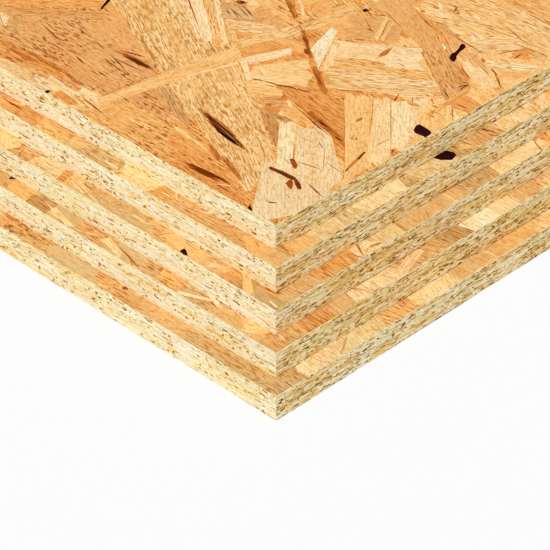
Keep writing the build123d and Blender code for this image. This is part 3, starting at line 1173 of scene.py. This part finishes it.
RING_PHASES, STRIPE_PHASES = (0.72, 0.96), (0.4, 0.9)  # from where a line starts to where it is darkest
RING_FIBRES = (0.2, 0.7)  # from the fibres that a ring leaves light to those that it darkens
RIM_SHADE_AND_DIRT_BANDS = (0.1, 0.7)  # and the same for a strand's rim and the bands
FIBRE_SHARE, BAND_SHARE, STRIPE_SHARE = 0.6, 0.25, 0.7  # of their full tints
KNIFE_SHARE, RING_SHARE = 0.5, 0.6
ROUGHNESSES = (0.60, 0.82)  # from light fibres to dark ones
SPECULAR = 0.03
BUMP_STRENGTH, BUMP_DISTANCE = 0.5, 0.1 * MM


def grain_lines(tree, grain, pace, bend_pace, bend, phases):
    """Lines along the grain that wander, darker towards one side."""
    across = node(tree, "ShaderNodeSeparateXYZ", {0: grain}).outputs[1]
    phase = plus(tree, times(tree, across, pace), times(tree, noise(tree, grain, bend_pace), bend))
    phase = node(tree, "ShaderNodeMath", {0: phase}, operation="FRACT").outputs[0]
    return ranged(tree, phase, *phases)


def wood(name, look):
    """Wood whose grain follows each strand, from paces of noise and tints of the strand's own tone."""
    material = bpy.data.materials.new(name)
    material.use_nodes = True
    tree = material.node_tree
    shader = tree.nodes["Principled BSDF"]
    grain = node(tree, "ShaderNodeUVMap", uv_map="grain").outputs[0]
    tone = node(tree, "ShaderNodeAttribute", attribute_name="tone").outputs["Vector"]
    figure = node(tree, "ShaderNodeAttribute", attribute_name="figure").outputs["Vector"]
    rim_shade_and_dirt = node(tree, "ShaderNodeAttribute", attribute_name="rim_shade_and_dirt").outputs["Fac"]
    dashes, knife_marks, lines = node(tree, "ShaderNodeSeparateXYZ", {0: figure}).outputs[0:3]
    shows = {}
    for key, (detail, roughness, distortion, low, high) in NOISES.items():
        shows[key] = ranged(tree, noise(tree, grain, look[key], detail, roughness, distortion), low, high)
    fibre, fleck, band, speckle, knife, patch, dash = shows.values()
    speckle = times(tree, speckle, ranged(tree, band, 0.0, 1.0, *SPECKLE_BAND_SHARES),
                    ranged(tree, lines, *STRONG_LINES, *SPECKLE_LINE_SHARES))
    ring = grain_lines(tree, grain, look["ring_pace"], look["ring"], RING_BEND, RING_PHASES)
    ring = times(tree, ring, ranged(tree, fibre, *RING_FIBRES), patch)
    stripe = grain_lines(tree, grain, look["stripe_pace"], look["ring"], STRIPE_BEND, STRIPE_PHASES)
    tints = ("light", "warm", "rich", "spot", "deep")
    light, warm, rich, spot, deep = (tinted(tree, tone, look[key]) for key in tints)
    dash = times(tree, dash, patch, dashes)
    colour = blended(tree, times(tree, fibre, lines, FIBRE_SHARE), light, warm)
    colour = blended(tree, times(tree, fleck, lines), colour, rich)
    colour = blended(tree, speckle, colour, spot)
    colour = blended(tree, times(tree, band, BAND_SHARE), colour, warm)
    colour = blended(tree, times(tree, stripe, knife_marks, STRIPE_SHARE), colour, warm)
    colour = blended(tree, times(tree, knife, knife_marks, KNIFE_SHARE), colour, warm)
    colour = blended(tree, times(tree, ring, lines, RING_SHARE), colour, deep)
    colour = blended(tree, dash, colour, deep)
    # Painted shade and dirt along each strand's rim, where one strand meets the next, darker where the bands
    # are
    colour = blended(tree, times(tree, rim_shade_and_dirt, ranged(tree, band, *RIM_SHADE_AND_DIRT_BANDS), look["rim_shade_and_dirt_share"]), colour, deep)
    tree.links.new(colour, shader.inputs["Base Color"])
    tree.links.new(ranged(tree, fibre, 0.0, 1.0, *ROUGHNESSES), shader.inputs["Roughness"])
    shader.inputs["Specular IOR Level"].default_value = SPECULAR
    height = plus(tree, fibre, fleck, dash)
    bump = node(tree, "ShaderNodeBump", {"Height": height, "Strength": BUMP_STRENGTH,
                                         "Distance": BUMP_DISTANCE}, invert=True)
    tree.links.new(bump.outputs[0], shader.inputs["Normal"])
    return material


def white_for_camera(tree):
    """1 for the rays by which the background is seen, straight or in a reflection."""
    path = node(tree, "ShaderNodeLightPath").outputs
    rays = ("Is Camera Ray", "Is Glossy Ray", "Is Transmission Ray")
    return reckoned(tree, "MAXIMUM", [path[ray] for ray in rays])


def make_floor():
    """A level white floor that keeps a faint shadow."""
    mesh = bpy.data.meshes.new("floor")
    half = FLOOR_SIZE / 2
    corners = [(-half, -half, 0), (half, -half, 0), (half, half, 0), (-half, half, 0)]
    mesh.from_pydata(corners, [], [(0, 1, 2, 3)])
    material = bpy.data.materials.new("floor")
    material.use_nodes = True
    tree = material.node_tree
    tree.nodes.remove(tree.nodes["Principled BSDF"])
    paint = node(tree, "ShaderNodeBsdfDiffuse", {"Color": FLOOR_COLOUR})
    white = node(tree, "ShaderNodeEmission", {"Strength": 1.0})
    factor = times(tree, white_for_camera(tree), FLOOR_WHITE_SHARE)
    mixed = node(tree, "ShaderNodeMixShader", {0: factor, 1: paint.outputs[0], 2: white.outputs[0]})
    tree.links.new(mixed.outputs[0], tree.nodes["Material Output"].inputs[0])
    mesh.materials.append(material)
    floor = placed("floor", mesh)


def make_world():
    """An even sky, seen as white."""
    world = bpy.data.worlds.new("sky")
    bpy.context.scene.world = world
    world.use_nodes = True
    tree = world.node_tree
    sky = tree.nodes["Background"]
    sky.inputs["Color"].default_value = (1, 1, 1, 1)
    sky.inputs["Strength"].default_value = SKY_STRENGTH
    white = node(tree, "ShaderNodeBackground", {"Color": (1, 1, 1, 1), "Strength": 1.0})
    factor = white_for_camera(tree)
    mixed = node(tree, "ShaderNodeMixShader", {0: factor, 1: sky.outputs[0], 2: white.outputs[0]})
    tree.links.new(mixed.outputs[0], tree.nodes["World Output"].inputs[0])


def make_sun(name, direction, strength):
    """A large soft light from one direction."""
    lamp = bpy.data.lights.new(name, "SUN")
    lamp.energy = strength
    lamp.angle = SUN_SIZE
    faced(placed(name, lamp), direction)


def make_camera():
    """The photograph's camera."""
    data = bpy.data.cameras.new("camera")
    data.sensor_width = SENSOR_WIDTH
    data.lens = SENSOR_WIDTH * FOCAL_PIXELS / IMAGE_SIZE
    camera = placed("camera", data)
    camera.location = camera_place()
    faced(camera, camera_axes()[2])
    bpy.context.scene.camera = camera


def top_strands(rng, face, level, on_top):
    """The strands of a panel's upper face."""
    whole = [(np.zeros(2), face.size)]
    length, width = face.size
    if on_top:
        near = np.array((length - SEEN_SIZE, SEEN_SIZE))
        unseen = [(np.zeros(2), np.array((near[0], width))), (near, face.size)]
        seen = [(np.array((near[0], 0)), np.array((length, near[1])))]
        strands = first_layer(rng, face, FINE_POINTS)
        strands += loose_strands(rng, whole, TOP_STRANDS, FINE_POINTS)
        strands += small_pieces(rng, unseen, TOP_SMALL_PIECES) + photo_strands(rng, face)
        strands += cracks(rng, seen, TOP_CRACKS) + photo_streaks(rng, face)
        strands += cracks(rng, unseen, TOP_FLECKS, FLECK_SIZES, FLECK_TONES)
    else:
        long_strip = [(np.zeros(2), np.array((length, STRIP_WIDTH)))]
        end_strip = [(np.array((length - STRIP_WIDTH, 0)), np.array((length, width)))]
        open_strips = long_strip + end_strip
        strands = first_layer(rng, face, COARSE_POINTS)
        strands += loose_strands(rng, whole, COVERED_STRANDS, COARSE_POINTS)
        for strip, number, tones in ((end_strip, END_STRIP_LOOSE, END_STRIP_TONES),
                                     (long_strip, LONG_STRIP_LOOSE, LONG_STRIP_TONES)):
            strands += loose_strands(rng, strip, number, FINE_POINTS, tones, STRIP_FIGURES)
        strands += strip_strands(rng, face, level) + small_pieces(rng, open_strips, STRIP_SMALL_PIECES)
        strands += cracks(rng, open_strips, STRIP_CRACKS)
        strands += cracks(rng, open_strips, STRIP_BLOTS, FLECK_SIZES)
    return strands + photo_knots(face, level)


def underside_strands(rng, face, at_bottom):
    """The strands of a panel's lower face, plain where it rests on the next panel."""
    strands = first_layer(rng, face, COARSE_POINTS)
    if at_bottom:
        whole = [(np.zeros(2), face.size)]
        strands += loose_strands(rng, whole, BOTTOM_STRANDS, COARSE_POINTS)
        strands += small_pieces(rng, whole, BOTTOM_SMALL_PIECES)
    return strands


def dress_panel(level, node_name, face_wood, edge_wood, on_top, at_bottom):
    """One panel's two faces and its sawn edges, in place of its plain solid."""
    low, high = (np.array(corner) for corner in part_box(node_name))
    length, width, _ = high - low
    top = Face((low[0], low[1], high[2]), (1, 0, 0), (0, 1, 0), length, width)
    underside = Face((low[0], high[1], low[2]), (1, 0, 0), (0, -1, 0), length, width)
    rng = np.random.default_rng(SEED + level)
    dressing = {
        "top_face": (dress_face(rng, top, top_strands(rng, top, level, on_top)), face_wood),
        "underside": (dress_face(rng, underside, underside_strands(rng, underside, at_bottom)), face_wood),
        "edges": (dress_edges(rng, low, high), edge_wood),
    }
    for part, (plates, material) in dressing.items():
        piece = plates.make(f"{node_name}_{part}", material)
        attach(piece, "root")
        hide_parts(node_name)


face_wood = wood("strand_wood", FACE_WOOD)
edge_wood = wood("sawn_wood", EDGE_WOOD)
panels = sorted(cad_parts)
for level, node_name in enumerate(panels, 1):
    dress_panel(level, node_name, face_wood, edge_wood, node_name == panels[-1], node_name == panels[0])
make_floor()
make_world()
make_sun("sun", SUN_DIRECTION, SUN_STRENGTH)
make_sun("fill", FILL_DIRECTION, FILL_STRENGTH)
make_camera()
bpy.context.scene.view_settings.view_transform = "Standard"
